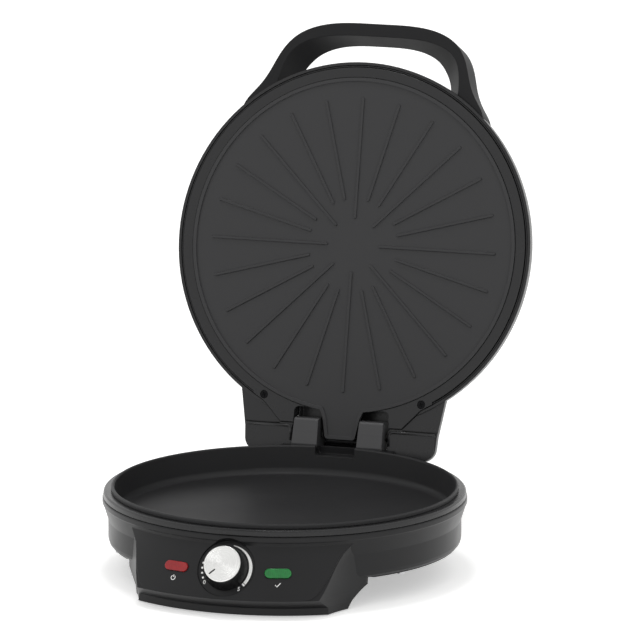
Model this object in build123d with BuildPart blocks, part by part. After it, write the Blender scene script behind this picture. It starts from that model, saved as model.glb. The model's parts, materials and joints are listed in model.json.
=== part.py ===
"""Round electric griddle with a deep lower pan and a ribbed upper plate in a hinged lid.

Millimetres, +Z up, the control panel faces -Y. The lid is drawn open, against its stop.
The origin is on the ground under the middle of the whole griddle's footprint.
"""
from math import cos, radians, sin
import os

from build123d import *

# ---------------------------------------------------------------- driving dimensions
# cooking surfaces
PAN_R = 150.2          # inside radius of the pan at its rim
PAN_FLOOR_R = PAN_R - 1.8  # inside radius of the pan where the wall meets the floor
PAN_DEPTH = 25.6       # rim top to pan floor
PAN_WALL = 1.8
PAN_CORNER = 6.0       # inside radius between pan wall and floor
PLATE_R = PAN_R - 2.2  # flat part of the upper plate
PLATE_T = 3.0
LIP_W = 3.2            # raised edge all round the upper plate
LIP_H = 1.4
RIB_COUNT = 8          # ribs in each of the three families
RIB_W = 2.8
RIB_H = 1.3
RIB_OUTER = PLATE_R - 14.5  # where every rib ends
RIB_INNER_LONG = 23.6
RIB_INNER_SHORT = 41.3

# base
RIM_Z = 77.0           # top of the pan's rim above the ground
DRUM_BOTTOM = 25.0     # underside of the drum
DRUM_R = PAN_R + 5.6    # drum wall
BAND_Z = 48.0          # where the wall starts to flare
LIP_Z = 59.0           # where the flare ends, under the bead
BEAD_R = PAN_R + 10.6   # bead round the top of the housing
BEAD_TOP = 67.4
SHELL_WALL = 3.0
GROUND_GAP = 1.0       # how far the rubber feet stand proud

# control foot
FOOT_TOP_R = PAN_R + 6.2  # radius of the foot's face under the bead
FOOT_TOP_Z = 61.0
FOOT_SLOPE = 0.62      # how much the face leans out for each millimetre down
CHIN_Z = 16.5          # the face ends here and turns back under
PLINTH_TOP = 7.0       # upright edge along the ground
PLINTH_R = FOOT_TOP_R + 15.6
FOOT_STEPS = (         # height, half angle of the front corner, half angle of the root
    (CHIN_Z, 26.6, 46.5),
    (33.0, 30.6, 47.5),
    (50.0, 35.2, 49.5),
    (FOOT_TOP_Z, 41.5, 52.0),
)
PLINTH_CORNER = 30.0
PLINTH_ROOT = 46.0
PLINTH_DRAFT = 0.8
FOOT_ROOT_R = DRUM_R - 3.5  # where the foot's side walls run into the drum
FOOT_BACK = FOOT_ROOT_R * cos(radians(PLINTH_ROOT))
SIDE_HOLLOW = 3.0      # how far the foot's sides curve in
SHIELD_T = 1.6         # raised control panel
SHIELD_HALF = ((CHIN_Z + 0.6, 79.0), (33.0, 87.0), (50.0, 93.0), (FOOT_TOP_Z + 1, 104.0))
SHIELD_CORNER = 13.0
FOOT_COVER_HALF = 92.0
ARCH_ANGLE = 52.0      # where the arch between foot and drum is cut
ARCH = ((-39.5, 0.0), (-21.0, 18.0), (12.0, DRUM_BOTTOM))
LEG_ANGLE = 25.0       # rear legs, from the rear
LEG_W = 40.0
LEG_T = 24.0
LEG_RING = DRUM_R - LEG_T / 2 - 2
LEG_SPREAD = (LEG_RING, 2, 90 - LEG_ANGLE, 2 * LEG_ANGLE)
PAD_R = 7.0
PAD_H = 3.0
PAD_FRONT = (66.0, 38.0)
PAD_PLACES = [
    (-PAD_FRONT[0], -FOOT_BACK - PAD_FRONT[1]),
    (PAD_FRONT[0], -FOOT_BACK - PAD_FRONT[1]),
    (-LEG_RING * sin(radians(LEG_ANGLE)), LEG_RING * cos(radians(LEG_ANGLE))),
    (LEG_RING * sin(radians(LEG_ANGLE)), LEG_RING * cos(radians(LEG_ANGLE))),
]

# rim: a clamp ring holds the pan's rim on the housing
RIM_OUT = PAN_R + 3.0
RIM_EDGE = 1.0         # bevel of the pan's rim
RING_T = 5.6
RING_IN = PAN_R + PAN_WALL + 0.4
PAN_TOP = RIM_Z - PAN_DEPTH
PAN_UNDER = PAN_TOP - PAN_WALL
BEAD_IN = RIM_OUT + 0.2
NOTCH_HALF = 18.5      # notch in the rim for the lid's tongue
NOTCH_DEPTH = 9.0
NOTCH_R = 2.5
NOTCH_START = PAN_R - 14
PAN_POST_RING = 60.0
PAN_POST_R = 5.0
PAN_POST_H = 12.0

# heaters
ELEMENT_RING = PAN_R - 45.0
ELEMENT_R = 3.5
ELEMENT_GAP = 22.0     # opening of the ring, where the cold ends leave
ELEMENT_END = 22.0
REFLECTOR_Z = 37.5
REFLECTOR_R = PAN_R - 24.0
REFLECTOR_SLOPE = 8.0
REFLECTOR_T = 0.8
REFLECTOR_DEEP = 12.0

# bottom cover
COVER_T = 2.6
POST_R = 4.5
POST_H = 14.0
POST_RING = DRUM_R - SHELL_WALL - POST_R + 0.8
POST_SPREAD = (POST_RING, 5, -30, 240)
SCREW_R = 1.75
SCREW_L = 12.0
SCREW_HEAD_R = 3.2
SCREW_HEAD_H = 1.8
BUSH_HOLE_R = 6.5      # hole for the cord bush, at the back
BUSH_Z = 42.0

# controls
KNOB_Z = 41.0
KNOB_BASE_R = 19.4
KNOB_TOP_R = 16.4
KNOB_H = 13.0
CAP_T = 1.6
DIAL_R = 25.5          # round recess the knob sits in
DIAL_DEPTH = 2.8
SHAFT_R = 3.0
LENS_L = 23.5
LENS_W = 8.8
LENS_PROUD = 1.3
LENS_ANGLE = 15.5
LENS_Z = 38.4
LENS_DEEP = 6.0
LENS_FIT = 0.1
LAMP_R = 3.0
LAMP_L = 9.0
LAMP_BASE = (19.5, 7.8, 2.5)
KNOB_LIFT = 0.5        # knob above the recess
CAP_ROUND = 1.0
HUB_TOP = 4.0          # moulding left above the end of the shaft
POINTER_L = 7.0
POINTER_W = 1.6
POINTER_D = 0.5
POINTER_IN = 2.0       # end of the pointer from the cap's edge
POINTER_ANGLE = 135.0
THERMOSTAT_BACK = 13.0
THERMOSTAT_SIZE = (30.0, 24.0, 14.0)
SHAFT_IN = 6.0
COLLAR_R = 5.0
COLLAR_H = 4.0
BRACKET_T = 1.2
BRACKET_W = 18.0
BRACKET_FOOT = 7.0

# hinge
HINGE_BACK = PAN_R + 20.7  # hinge axis behind the pan's axis
HINGE_RISE = 7.1       # hinge axis above the rim
OPEN_TILT = 13.6       # how far the open lid leans back past upright
PIN_R = 4.0
BUSH_R = 5.2
ARM_X = 30.5           # middle of each arm
ARM_W = 25.0           # at the foot of the arm
ARM_TOP_W = 22.5
ARM_LOBE_R = 14.0      # round end about the pin
SLOT_HALF = 45.0       # slot between the lid's two hinge blocks
MOUNT_HALF = 43.4      # hinge mount on the housing, inside that slot
MOUNT_BACK = HINGE_BACK + 1.1
HUMP_HALF = 52.0
HUMP_TOP = 75.0
HUMP_SLOPE = 4.0
HUMP_FRONT = DRUM_R - 12
ARM_FRONT = RIM_OUT + 0.6
PIN_START = 22.0
PIN_L = 37.0
BUSH_L = 14.0

# lid
SHELL_R = PLATE_R + 17.2
DOME_D = 43.0          # depth of the lid at its middle
DOME_EDGE = 20.0       # where the dome's curve meets its side, before rounding
DOME_SHOULDER = 17.0
LID_WALL = 2.6
FRAME_R = SHELL_R - 4.8  # outside of the inner frame
FRAME_T = 3.0
FRAME_SINK = 2.6       # rebate in the lid that takes the frame
FRAME_SCREW_R = 3.4
SCREW_SINK = 0.4
SCREW_PLACES = [(-73.9, 25.7 - SHELL_R), (73.9, 25.7 - SHELL_R)]
SKIRT_D = 14.0         # depth of the hinge skirt
SKIRT_END = SHELL_R + 25.7  # its lower end, from the plate's centre
SKIRT_STEP = 0.8
SKIRT_CORNER = 13.0
SKIRT_SIDES = [(95.8, -60.0), (95.8, 30.3 - SHELL_R), (90.3, -SHELL_R - 2.7), (88.8, -SKIRT_END)]
BLOCK_TOP = SHELL_R - 0.2  # step between skirt face and hinge blocks
BLOCK_PROUD = 1.4
BLOCK_OUT = 89.0
FLANGE_END = BLOCK_TOP - 2.4
FLANGE_SIDES = [
    (84.0, -100.0), (84.0, 26.6 - SHELL_R), (73.5, 20.3 - SHELL_R), (58.5, 4.3 - SHELL_R), (57.0, -FLANGE_END),
]
TONGUE_END = PLATE_R + 24.5
TONGUE_HALF = 11.2
TONGUE_ROOT = 18.0
TONGUE_NECK = (14.5, PLATE_R + 7.0)
WINDOW_TOP = PLATE_R    # the frame's windows for the arms
WINDOW_IN = 15.0
WINDOW_OUT = 44.5
WINDOW_R = 5.0

# handle
HANDLE_START = SHELL_R - 45.2  # where the handle's sloping plane leaves the lid's face
HANDLE_SLOPE = 21.8
HANDLE_T = 21.0
HANDLE_RISE = 36.8
HANDLE_TOP = SHELL_R + HANDLE_RISE
HANDLE_ROOT_R = SHELL_R - 9.9  # nothing of the handle lies inside this radius
HANDLE_OUTER = [       # half outline of the front face: sideways, and above the lid's rim
    (113, -46.3), (109, -36.3), (102.5, -27.3), (94.3, -12.3), (86.3, 7.7), (74.8, 22.7), (60, 31), (40, 35.6),
    (0, HANDLE_RISE),
]
HANDLE_BACK = [        # and of the back face
    (116, -46.3), (112, -36.3), (105.5, -27.3), (97.3, -12.3), (90, 7.7), (79.8, 22.7), (66, 31.4), (46, 35.9),
    (0, HANDLE_RISE),
]
# the finger gap flares: its edge on the front face, then on the back face
GAP_FRONT = [
    (86.5, -30.3), (85.5, -22.3), (84.5, -14.3), (82.5, -4.3), (78.5, 6), (70.3, 14.8), (55.5, 21.4), (34, 24.6),
    (0, 25.2),
]
GAP_BACK = [
    (75, -30.3), (73.5, -22.3), (72, -12.3), (69.5, -4.3), (65, 3.7), (57, 12.9), (45, 19.7), (26, 23.9), (0, 24.7),
]

# fits
RUN = 0.05             # shaft in its bore, radial
PRESS = 0.02           # pressed or glued round part, radial
FIT = 0.3              # moulding to moulding
SEAT = 0.2             # metal pressing resting on another
CLOSE_GAP = 0.4        # closed lid to rim
STOP_GAP = 0.4         # open lid to the housing's stop

os.makedirs("parts", exist_ok=True)

# ---------------------------------------------------------------- frames
TILT_S, TILT_C = sin(radians(OPEN_TILT)), cos(radians(OPEN_TILT))
SLOPE_S, SLOPE_C = sin(radians(HANDLE_SLOPE)), cos(radians(HANDLE_SLOPE))
HINGE_Z = RIM_Z + HINGE_RISE
# the hinge axis lies this far behind the plate's face
HINGE_DROP = HINGE_RISE - CLOSE_GAP - LIP_H


def lid_y(up, out):
    """How far behind the pan's axis a point of the open lid is."""
    return HINGE_BACK + (HINGE_BACK + up) * TILT_S - (HINGE_DROP + out) * TILT_C


def lid_z(up, out):
    """How high a point of the open lid is."""
    return HINGE_Z + (HINGE_BACK + up) * TILT_C + (HINGE_DROP + out) * TILT_S


HANDLE_FRONT = (HANDLE_TOP - HANDLE_START) * SLOPE_S / SLOPE_C
REAR_REACH = lid_y(HANDLE_TOP - HANDLE_T * SLOPE_S, -HANDLE_FRONT - HANDLE_T * SLOPE_C)
# the foremost point is the lower edge of the knob's cap
PANEL_L = (1 + FOOT_SLOPE ** 2) ** 0.5
KNOB_OUT = KNOB_LIFT + KNOB_H + CAP_T - DIAL_DEPTH - CAP_ROUND
FRONT_REACH = (
    FOOT_TOP_R + (FOOT_TOP_Z - KNOB_Z) * FOOT_SLOPE + SHIELD_T
    + (KNOB_OUT + (KNOB_TOP_R - CAP_ROUND) * FOOT_SLOPE) / PANEL_L + CAP_ROUND
)
BASE_Y = (FRONT_REACH - REAR_REACH) / 2

BASE = Plane((0, BASE_Y, 0))
SIDE = Plane(origin=(0, BASE_Y, 0), x_dir=(0, 1, 0), z_dir=(1, 0, 0))
FRONT = Plane(origin=(0, BASE_Y, 0), x_dir=(1, 0, 0), z_dir=(0, -1, 0))
PAN_AXIS = Axis((0, BASE_Y, 0), (0, 0, 1))
LID_O = (0, BASE_Y + lid_y(0, 0), lid_z(0, 0))
LID = Plane(origin=LID_O, x_dir=(1, 0, 0), z_dir=(0, -TILT_C, TILT_S))
LID_SIDE = Plane(origin=LID_O, x_dir=(0, TILT_S, TILT_C), z_dir=(1, 0, 0))
LID_AXIS = Axis(LID_O, (0, -TILT_C, TILT_S))
# the handle's front face slopes back from the lid's face
HANDLE = LID.shift_origin(LID.from_local_coords((0, HANDLE_START, 0))).rotated((-HANDLE_SLOPE, 0, 0))


def foot_r(z, grow=0.0):
    """Radius of the control foot's conical face at height z."""
    return FOOT_TOP_R + (FOOT_TOP_Z - z) * FOOT_SLOPE + grow


def polar(radius, angle):
    """Point at an angle from the front, positive towards +X."""
    return (radius * sin(radians(angle)), -radius * cos(radians(angle)))


def panel_plane(angle, z, grow=SHIELD_T):
    """Plane on the control panel's face, its Z pointing out of the panel."""
    x, y = polar(foot_r(z, grow), angle)
    out_x, out_y = polar(1.0, angle)
    rise = FOOT_SLOPE
    return Plane(origin=(x, BASE_Y + y, z), x_dir=(-out_y, out_x, 0), z_dir=(out_x, out_y, rise))


def foot_outline(radius, corner, root, inset=0.0):
    """Plan of the control foot at one height: front arc, two hollow sides and a straight back."""
    front = radius - inset
    corner_r = polar(front, corner)
    corner_r = (corner_r[0] - inset, corner_r[1])
    root_r = polar(FOOT_ROOT_R, root)
    root_r = (root_r[0] - inset, root_r[1] - inset)
    corner_l = (-corner_r[0], corner_r[1])
    root_l = (-root_r[0], root_r[1])
    mid_r = ((corner_r[0] + root_r[0]) / 2 - SIDE_HOLLOW, (corner_r[1] + root_r[1]) / 2)
    mid_l = (-mid_r[0], mid_r[1])
    ThreePointArc(corner_l, (0, -front), corner_r)
    ThreePointArc(corner_r, mid_r, root_r)
    Line(root_r, root_l)
    ThreePointArc(root_l, mid_l, corner_l)


DIAL = panel_plane(0, KNOB_Z).offset(-DIAL_DEPTH)
KNOB_FOOT = DIAL.offset(KNOB_LIFT)
ELEMENT_Z = PAN_UNDER - SEAT - ELEMENT_R

# ================================================================ base
# ---- base_housing: drum, control foot, rear legs and hinge mount in one moulding
with BuildPart() as base_housing:
    with BuildSketch(SIDE):
        with BuildLine():
            Polyline(
                (0, DRUM_BOTTOM), (DRUM_R - 6.0, DRUM_BOTTOM), (DRUM_R - 3.0, DRUM_BOTTOM + 0.8),
                (DRUM_R - 0.8, DRUM_BOTTOM + 3.0), (DRUM_R, DRUM_BOTTOM + 6.0),
                (DRUM_R, BAND_Z), (BEAD_R - 1.6, LIP_Z), (BEAD_R - 0.6, LIP_Z + 3.0),
                (BEAD_R, LIP_Z + 3.8), (BEAD_R, BEAD_TOP - 0.8), (BEAD_R - 0.8, BEAD_TOP),
                (0, BEAD_TOP), (0, DRUM_BOTTOM),
            )
        make_face()
    revolve(axis=PAN_AXIS)
    for z, corner, root in FOOT_STEPS:
        with BuildSketch(BASE.offset(z)):
            with BuildLine():
                foot_outline(foot_r(z), corner, root)
            make_face()
    loft()
    # the chin turns back under to an upright plinth
    for z, radius, corner, root in (
        (GROUND_GAP, PLINTH_R + PLINTH_DRAFT, PLINTH_CORNER, PLINTH_ROOT), (PLINTH_TOP, PLINTH_R, PLINTH_CORNER, PLINTH_ROOT),
        (CHIN_Z, foot_r(CHIN_Z), *FOOT_STEPS[0][1:]),
    ):
        with BuildSketch(BASE.offset(z)):
            with BuildLine():
                foot_outline(radius, corner, root)
            make_face()
    loft(ruled=True)
    # hinge mount behind the drum, with a lower wing on each side that stops the open lid
    with BuildSketch(SIDE):
        Polygon(
            (HUMP_FRONT, BAND_Z - 8), (MOUNT_BACK - 6, BAND_Z), (MOUNT_BACK, BAND_Z + 8),
            (MOUNT_BACK, HINGE_Z - ARM_LOBE_R), (HINGE_BACK - 10, HUMP_TOP),
            (HUMP_FRONT, HUMP_TOP), align=None,
        )
    extrude(amount=MOUNT_HALF, both=True)
    with BuildSketch(FRONT.offset(-HUMP_FRONT)):
        Polygon(
            (-HUMP_HALF - HUMP_SLOPE, LIP_Z), (-HUMP_HALF - HUMP_SLOPE, BEAD_TOP + 1), (-HUMP_HALF, HUMP_TOP),
            (HUMP_HALF, HUMP_TOP), (HUMP_HALF + HUMP_SLOPE, BEAD_TOP + 1), (HUMP_HALF + HUMP_SLOPE, LIP_Z), align=None,
        )
    extrude(amount=-(lid_y(-SKIRT_END, BLOCK_PROUD) - STOP_GAP - HUMP_FRONT))
    # inside of the drum, up to the ledge that the rim ring sits on
    with BuildSketch(SIDE):
        with BuildLine():
            Polyline(
                (0, DRUM_BOTTOM - 5), (DRUM_R - SHELL_WALL, DRUM_BOTTOM - 5), (DRUM_R - SHELL_WALL, BAND_Z - 4),
                (BEAD_IN, LIP_Z - 3), (BEAD_IN, HUMP_TOP + 5),
                (0, HUMP_TOP + 5), (0, DRUM_BOTTOM - 5),
            )
        make_face()
    revolve(axis=PAN_AXIS, mode=Mode.SUBTRACT)
    # inside of the foot, above and below the chin
    for z, corner, root in FOOT_STEPS[:3]:
        with BuildSketch(BASE.offset(z)):
            with BuildLine():
                foot_outline(foot_r(z), corner, root, SHELL_WALL)
            make_face()
    loft(mode=Mode.SUBTRACT)
    for z, radius, corner, root in (
        (GROUND_GAP, PLINTH_R, PLINTH_CORNER, PLINTH_ROOT), (PLINTH_TOP, PLINTH_R, PLINTH_CORNER, PLINTH_ROOT),
        (CHIN_Z, foot_r(CHIN_Z), *FOOT_STEPS[0][1:]),
    ):
        with BuildSketch(BASE.offset(z)):
            with BuildLine():
                foot_outline(radius, corner, root, SHELL_WALL)
            make_face()
    loft(ruled=True, mode=Mode.SUBTRACT)
    # rear legs
    with BuildSketch(BASE.offset(GROUND_GAP)):
        with PolarLocations(*LEG_SPREAD, endpoint=True):
            RectangleRounded(LEG_T, LEG_W, 6)
    extrude(amount=DRUM_BOTTOM + 2 - GROUND_GAP, taper=-3)
    # raised control panel with rounded lower corners
    with BuildSketch(FRONT.offset(100)) as shield_front:
        with BuildLine():
            Polyline(
                *[(half, z) for z, half in SHIELD_HALF],
                *[(-half, z) for z, half in reversed(SHIELD_HALF)], close=True,
            )
        make_face()
        fillet(shield_front.vertices().group_by(Axis.Y)[0], SHIELD_CORNER)
    shield = extrude(amount=DRUM_R, mode=Mode.PRIVATE)
    with BuildSketch(SIDE) as shield_side:
        with BuildLine():
            low, high = SHIELD_HALF[0][0] - 1, SHIELD_HALF[-1][0]
            Polyline(
                (-foot_r(low, SHIELD_T), low), (-foot_r(high, SHIELD_T), high),
                (-foot_r(high, -SHELL_WALL / 2), high), (-foot_r(low, -SHELL_WALL / 2), low), close=True,
            )
        make_face()
    cone = revolve(axis=PAN_AXIS, mode=Mode.PRIVATE)
    add(shield & cone)
    # boss behind the knob's recess, the recess, the shaft hole and the lamp windows
    with BuildSketch(DIAL):
        Circle(DIAL_R + SHELL_WALL)
    boss = extrude(amount=-SHELL_WALL, mode=Mode.PRIVATE)
    with BuildSketch(BASE.offset(LIP_Z - SHELL_WALL)):
        Circle(BEAD_IN + 1)
    bead_room = extrude(amount=RIM_Z, mode=Mode.PRIVATE)
    add(boss - bead_room)
    with BuildSketch(DIAL):
        Circle(DIAL_R)
    extrude(amount=SHELL_WALL * 4, mode=Mode.SUBTRACT)
    with BuildSketch(DIAL):
        Circle(SHAFT_R + FIT)
    extrude(amount=-SHELL_WALL * 4, mode=Mode.SUBTRACT)
    for side in (-1, 1):
        with BuildSketch(panel_plane(side * LENS_ANGLE, LENS_Z)):
            SlotOverall(LENS_L, LENS_W)
        extrude(amount=2 * SHELL_WALL, both=True, mode=Mode.SUBTRACT)
    # arch between the foot and the drum on each side
    arch_s, arch_c = sin(radians(ARCH_ANGLE)), cos(radians(ARCH_ANGLE))
    for side in (-1, 1):
        x, y = polar(DRUM_R * 0.6, side * ARCH_ANGLE)
        arch_plane = Plane(
            origin=(x, BASE_Y + y, 0), x_dir=(side * arch_c, arch_s, 0), z_dir=(arch_s, -side * arch_c, 0)
        )
        with BuildSketch(arch_plane):
            with BuildLine():
                ThreePointArc(*ARCH)
                Polyline(ARCH[2], (80, ARCH[2][1]), (80, -10), (ARCH[0][0], -10), ARCH[0])
            make_face()
        extrude(amount=side * DRUM_R, mode=Mode.SUBTRACT)
    # notch for the lid's tongue, and the recess behind it
    with BuildSketch(FRONT.offset(-NOTCH_START)):
        with Locations((0, HUMP_TOP)):
            RectangleRounded(2 * NOTCH_HALF, 2 * (HUMP_TOP - RIM_Z + NOTCH_DEPTH), NOTCH_R)
    extrude(amount=-(BEAD_R - NOTCH_START), mode=Mode.SUBTRACT)
    # hole for the cord bush
    with BuildSketch(FRONT.offset(-DRUM_R - 30)):
        with Locations((0, BUSH_Z)):
            Circle(BUSH_HOLE_R)
    extrude(amount=40, mode=Mode.SUBTRACT)
    # screw posts for the bottom cover
    with BuildSketch(BASE.offset(DRUM_BOTTOM + COVER_T + FIT)):
        with PolarLocations(*POST_SPREAD, endpoint=True):
            Circle(POST_R)
    extrude(amount=POST_H)
    with BuildSketch(BASE.offset(DRUM_BOTTOM)):
        with PolarLocations(*POST_SPREAD, endpoint=True):
            Circle(SCREW_R + PRESS)
    extrude(amount=SCREW_L, mode=Mode.SUBTRACT)
    with BuildSketch(BASE.offset(GROUND_GAP)):
        with Locations(*PAD_PLACES):
            Circle(PAD_R + PRESS)
    extrude(amount=PAD_H - GROUND_GAP, mode=Mode.SUBTRACT)

base_housing.part.label = "base_housing"
export_step(base_housing.part, "parts/base_housing.step")

# ---- foot_cover: closes the control foot from below
with BuildPart() as foot_cover:
    with BuildSketch(BASE.offset(GROUND_GAP)):
        with BuildLine():
            foot_outline(PLINTH_R, PLINTH_CORNER, PLINTH_ROOT, SHELL_WALL + FIT)
        make_face()
    extrude(amount=COVER_T)
    with BuildSketch(BASE.offset(GROUND_GAP)):
        with Locations(*PAD_PLACES[:2]):
            Circle(PAD_R + PRESS)
    extrude(amount=PAD_H - GROUND_GAP, mode=Mode.SUBTRACT)
    split(bisect_by=SIDE.offset(FOOT_COVER_HALF), keep=Keep.BOTTOM)
    split(bisect_by=SIDE.offset(-FOOT_COVER_HALF), keep=Keep.TOP)
foot_cover.part.label = "foot_cover"
export_step(foot_cover.part, "parts/foot_cover.step")

# ---- bottom_cover: closes the drum, with a boss under each pan post
with BuildPart() as bottom_cover:
    with BuildSketch(BASE.offset(DRUM_BOTTOM)):
        Circle(DRUM_R - SHELL_WALL - FIT)
        with Locations((0, -DRUM_R)):
            Rectangle(2 * DRUM_R, 2 * (DRUM_R - FOOT_BACK + SHELL_WALL + FIT), mode=Mode.SUBTRACT)
        with PolarLocations(*LEG_SPREAD, endpoint=True):
            RectangleRounded(LEG_T + 4, LEG_W + 4, 6, mode=Mode.SUBTRACT)
        with PolarLocations(*POST_SPREAD, endpoint=True):
            Circle(SCREW_R + FIT, mode=Mode.SUBTRACT)
    extrude(amount=COVER_T)
    with BuildSketch(BASE.offset(DRUM_BOTTOM + COVER_T)):
        with PolarLocations(PAN_POST_RING, 3, 90):
            Circle(PAN_POST_R)
    extrude(amount=PAN_UNDER - PAN_POST_H - SEAT - DRUM_BOTTOM - COVER_T)
bottom_cover.part.label = "bottom_cover"
export_step(bottom_cover.part, "parts/bottom_cover.step")

# ---- cover_screws
with BuildPart() as cover_screws:
    with BuildSketch(BASE.offset(DRUM_BOTTOM - SCREW_HEAD_H)):
        with PolarLocations(*POST_SPREAD, endpoint=True):
            Circle(SCREW_HEAD_R)
    extrude(amount=SCREW_HEAD_H)
    with BuildSketch(BASE.offset(DRUM_BOTTOM)):
        with PolarLocations(*POST_SPREAD, endpoint=True):
            Circle(SCREW_R)
    extrude(amount=SCREW_L - FIT)
cover_screws.part.label = "cover_screws"
export_step(cover_screws.part, "parts/cover_screws.step")

# ---- rubber_feet
with BuildPart() as rubber_feet:
    with BuildSketch(BASE):
        with Locations(*PAD_PLACES):
            Circle(PAD_R)
    extrude(amount=PAD_H)
rubber_feet.part.label = "rubber_feet"
export_step(rubber_feet.part, "parts/rubber_feet.step")

# ---- lower_rim_ring: clamps the pan to the housing
with BuildPart() as lower_rim_ring:
    with BuildSketch(SIDE):
        with BuildLine():
            Polyline(
                (RING_IN, BEAD_TOP + SEAT), (BEAD_R - 1.1, BEAD_TOP + SEAT), (BEAD_R - 0.6, BEAD_TOP + 0.9),
                (BEAD_R - 1.0, BEAD_TOP + 4.4), (BEAD_R - 2.2, BEAD_TOP + RING_T), (RING_IN, BEAD_TOP + RING_T), close=True,
            )
        make_face()
    revolve(axis=PAN_AXIS)
    with BuildSketch(FRONT.offset(-NOTCH_START)):
        with Locations((0, RIM_Z)):
            Rectangle(2 * (HUMP_HALF + HUMP_SLOPE + 1), 40)
    extrude(amount=-30, mode=Mode.SUBTRACT)
lower_rim_ring.part.label = "lower_rim_ring"
export_step(lower_rim_ring.part, "parts/lower_rim_ring.step")

# ---- lower_pan: pressed and coated, with three posts underneath
with BuildPart() as lower_pan:
    with BuildSketch(SIDE) as pan_profile:
        with BuildLine():
            Polyline(
                (0, PAN_TOP), (PAN_FLOOR_R, PAN_TOP), (PAN_R, RIM_Z - RIM_EDGE), (PAN_R + RIM_EDGE, RIM_Z),
                (RIM_OUT - RIM_EDGE, RIM_Z), (RIM_OUT, RIM_Z - RIM_EDGE), (RIM_OUT, BEAD_TOP + RING_T + SEAT),
                (PAN_R + PAN_WALL, BEAD_TOP + RING_T + SEAT), (PAN_FLOOR_R + PAN_WALL, PAN_UNDER), (0, PAN_UNDER),
                close=True,
            )
        make_face()
        floor_corner = pan_profile.vertices().sort_by_distance((PAN_FLOOR_R, PAN_TOP))[0]
        fillet(floor_corner, PAN_CORNER)
        under_corner = pan_profile.vertices().sort_by_distance((PAN_FLOOR_R + PAN_WALL, PAN_UNDER))[0]
        fillet(under_corner, PAN_CORNER + PAN_WALL)
    revolve(axis=PAN_AXIS)
    with BuildSketch(FRONT.offset(-NOTCH_START)):
        with Locations((0, HUMP_TOP)):
            RectangleRounded(2 * NOTCH_HALF, 2 * (HUMP_TOP - RIM_Z + NOTCH_DEPTH), NOTCH_R)
    extrude(amount=-30, mode=Mode.SUBTRACT)
    with BuildSketch(BASE.offset(PAN_UNDER)):
        with PolarLocations(PAN_POST_RING, 3, 90):
            Circle(PAN_POST_R)
    extrude(amount=-PAN_POST_H)
lower_pan.part.label = "lower_pan"
export_step(lower_pan.part, "parts/lower_pan.step")

# ---- lower_element: sheathed heater under the pan's floor
with BuildPart() as lower_element:
    with BuildSketch(SIDE):
        with Locations((ELEMENT_RING, ELEMENT_Z)):
            Circle(ELEMENT_R)
    revolve(axis=PAN_AXIS)
    with BuildSketch(FRONT):
        with Locations((0, PAN_UNDER)):
            Rectangle(ELEMENT_GAP, 30)
    extrude(amount=DRUM_R, mode=Mode.SUBTRACT)
    with BuildSketch(FRONT.offset(ELEMENT_RING)):
        with Locations((-ELEMENT_GAP / 2 - ELEMENT_R, ELEMENT_Z), (ELEMENT_GAP / 2 + ELEMENT_R, ELEMENT_Z)):
            Circle(ELEMENT_R)
    extrude(amount=ELEMENT_END)
lower_element.part.label = "lower_element"
export_step(lower_element.part, "parts/lower_element.step")

# ---- lower_reflector: dish that throws the heat back up
with BuildPart() as lower_reflector:
    with BuildSketch(SIDE):
        with BuildLine():
            Polyline(
                (0, REFLECTOR_Z), (REFLECTOR_R - REFLECTOR_SLOPE, REFLECTOR_Z), (REFLECTOR_R, PAN_UNDER - SEAT),
                (REFLECTOR_R - REFLECTOR_T, PAN_UNDER - SEAT),
                (REFLECTOR_R - REFLECTOR_SLOPE - REFLECTOR_T / 2, REFLECTOR_Z + REFLECTOR_T),
                (0, REFLECTOR_Z + REFLECTOR_T), close=True,
            )
        make_face()
    revolve(axis=PAN_AXIS)
    with BuildSketch(BASE.offset(REFLECTOR_Z - 5)):
        with PolarLocations(PAN_POST_RING, 3, 90):
            Circle(PAN_POST_R + FIT)
        with Locations((0, -REFLECTOR_R + 4)):
            Rectangle(ELEMENT_GAP + 4 * ELEMENT_R + 4, 26)
    extrude(amount=30, mode=Mode.SUBTRACT)
lower_reflector.part.label = "lower_reflector"
export_step(lower_reflector.part, "parts/lower_reflector.step")

# ---- lamps: lens, flange behind the panel and a small neon lamp
for name, side in (("power", -1), ("ready", 1)):
    LENS = panel_plane(side * LENS_ANGLE, LENS_Z)
    with BuildPart() as lens:
        with BuildSketch(LENS.offset(-LENS_DEEP)):
            SlotOverall(LENS_L - 2 * LENS_FIT, LENS_W - 2 * LENS_FIT)
        extrude(amount=LENS_DEEP + LENS_PROUD)
        fillet(lens.faces().sort_by(Axis(LENS.origin, LENS.z_dir))[-1].edges(), LENS_PROUD * 0.7)
    lens.part.label = f"{name}_lens"
    export_step(lens.part, f"parts/{name}_lens.step")
    with BuildPart() as lamp:
        with BuildSketch(LENS.offset(-LENS_DEEP - LAMP_L - SEAT)):
            Circle(LAMP_R)
        extrude(amount=LAMP_L)
        fillet(lamp.faces().sort_by(Axis(LENS.origin, LENS.z_dir))[-1].edges(), LAMP_R * 0.8)
        with BuildSketch(LENS.offset(-LENS_DEEP - LAMP_L - SEAT)):
            RectangleRounded(LAMP_BASE[0], LAMP_BASE[1], 2)
        extrude(amount=-LAMP_BASE[2])
    lamp.part.label = f"{name}_lamp"
    export_step(lamp.part, f"parts/{name}_lamp.step")

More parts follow.
